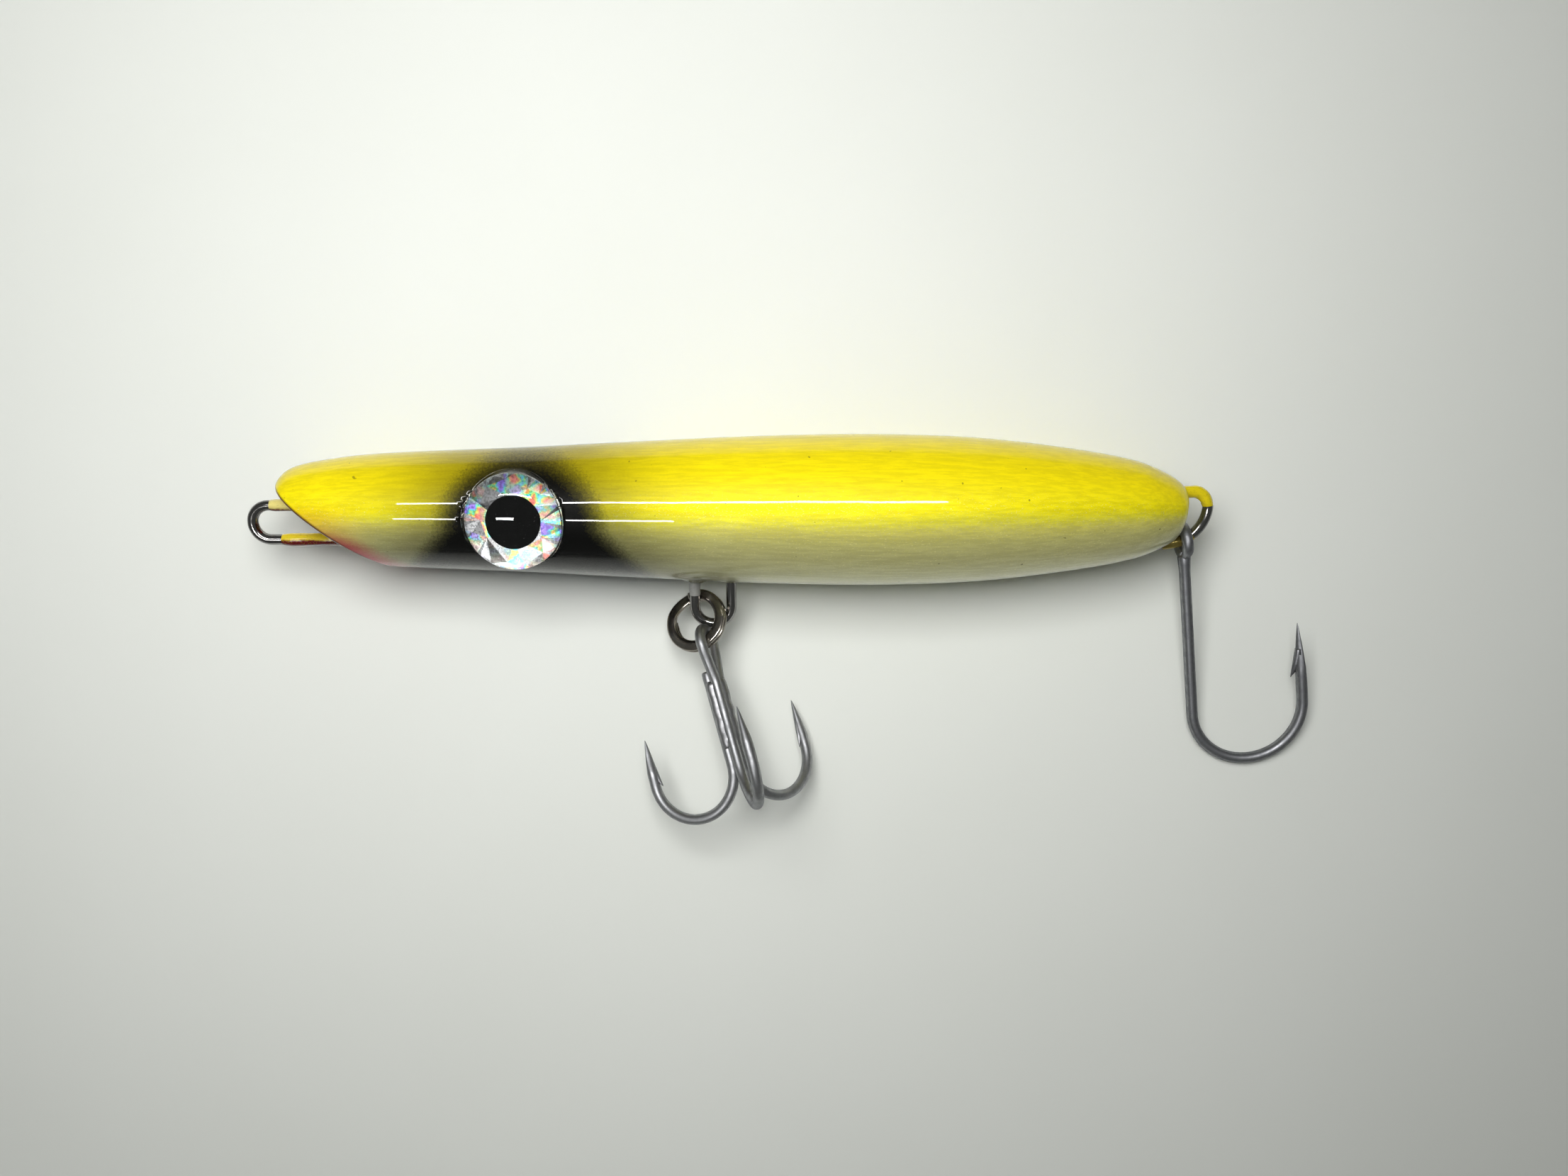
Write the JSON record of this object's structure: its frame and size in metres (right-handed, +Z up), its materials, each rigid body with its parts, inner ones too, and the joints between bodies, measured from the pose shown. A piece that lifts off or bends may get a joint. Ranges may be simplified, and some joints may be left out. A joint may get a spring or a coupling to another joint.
{
  "type": "topwater popper lure",
  "caption": "Through-wired wooden surface lure with a slanted flat face, domed eyes, a treble on a belly split ring and a single tail hook, lying on its side.",
  "frame": {"origin": "middle of the line tie's opening at the nose", "axes": "+X from the nose to the tail along the body, +Z up from the table the lure lies on, +Y towards the lure's back"},
  "size_m": [0.1985, 0.0718, 0.0319],
  "materials": {
    "body_paint": "painted yellow over pearl, high gloss clear coat",
    "filler": "pearl paint over epoxy filler, gloss",
    "harness_wire": "polished stainless wire",
    "lead": "dull cast lead",
    "eye_foil": "shattered holographic foil",
    "pupil": "gloss black",
    "lens": "clear cast epoxy dome",
    "yellow_coat": "paint and epoxy run down the wire, gloss",
    "red_coat": "red paint and epoxy on the wire, gloss",
    "grey_coat": "clouded epoxy on the wire",
    "amber_coat": "thin amber epoxy on the wire",
    "ring_wire": "dark nickel, polished",
    "treble_wire": "satin tin plate",
    "braze": "tinned braze, slightly lumpy",
    "tail_hook_wire": "satin tin plate"
  },
  "bodies": {
    "plug": {"wood_body": "body_paint", "slot_filler": "filler", "wire_harness": "harness_wire", "belly_weight": "lead", "belly_weight_cap": "filler", "tail_weight": "lead", "tail_weight_cap": "filler", "eye_foil_near": "eye_foil", "eye_foil_far": "eye_foil", "eye_pupil_near": "pupil", "eye_pupil_far": "pupil", "eye_lens_near": "lens", "eye_lens_far": "lens", "nose_coat_upper": "yellow_coat", "nose_coat_lower": "red_coat", "belly_coat": "grey_coat", "tail_coat_upper": "yellow_coat", "tail_coat_lower": "amber_coat"},
    "ring": {"split_ring": "ring_wire"},
    "treble": {"treble_double_hook": "treble_wire", "treble_third_hook": "treble_wire", "treble_braze": "braze"},
    "tail_hook": {"tail_hook": "tail_hook_wire"}
  },
  "joints": [
    {"name": "ring_swing", "type": "hinge", "parent": "plug", "child": "ring", "pos_m": [0.079, -0.01706, -0.00473], "axis": [-0.9848, -0.1736, 0], "range_deg": [0, 70]},
    {"name": "treble_slide", "type": "hinge", "parent": "ring", "child": "treble", "pos_m": [0.07785, -0.01814, -0.0046], "axis": [0.4019, -0.309, -0.8619], "range_deg": [0, 100]},
    {"name": "tail_hook_slide", "type": "hinge", "parent": "plug", "child": "tail_hook", "pos_m": [0.16472, 0.00299, 0.00083], "axis": [0, -0.2672, 0.9636], "range_deg": [0, 48]}
  ]
}
